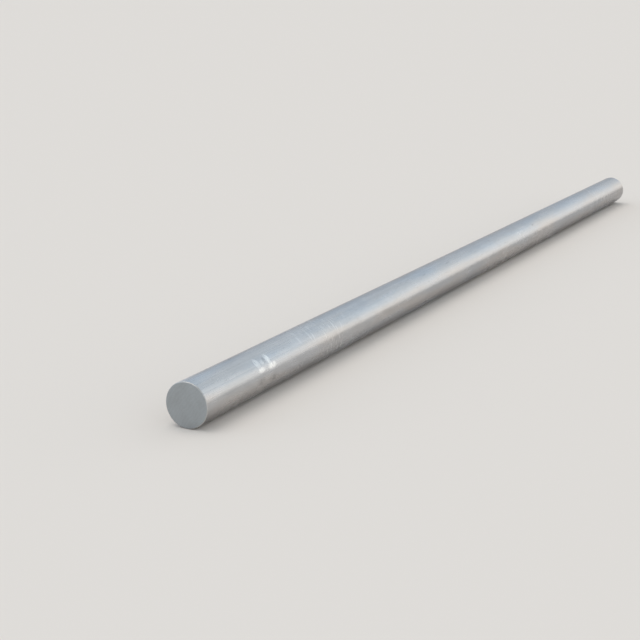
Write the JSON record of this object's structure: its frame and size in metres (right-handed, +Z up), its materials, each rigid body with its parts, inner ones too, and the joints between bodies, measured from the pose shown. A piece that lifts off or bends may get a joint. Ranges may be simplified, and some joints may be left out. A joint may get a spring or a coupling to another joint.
{
  "type": "aluminium round bar",
  "caption": "Solid round aluminium bar in mill finish, sawn square at both ends, for turning, milling or fabrication.",
  "frame": {"origin": "middle of the line along which the bar touches the floor, halfway between its two sawn ends", "axes": "+X along the bar towards the end that is the far one in the picture, +Z up, +Y across the bar"},
  "size_m": [3, 0.0948, 0.095],
  "materials": {
    "aluminium": "mill finish along the side, with fine die lines and light handling scuffs, and a matt sawn face at each end"
  },
  "bodies": {
    "root": {"round_bar": "aluminium"}
  },
  "joints": []
}
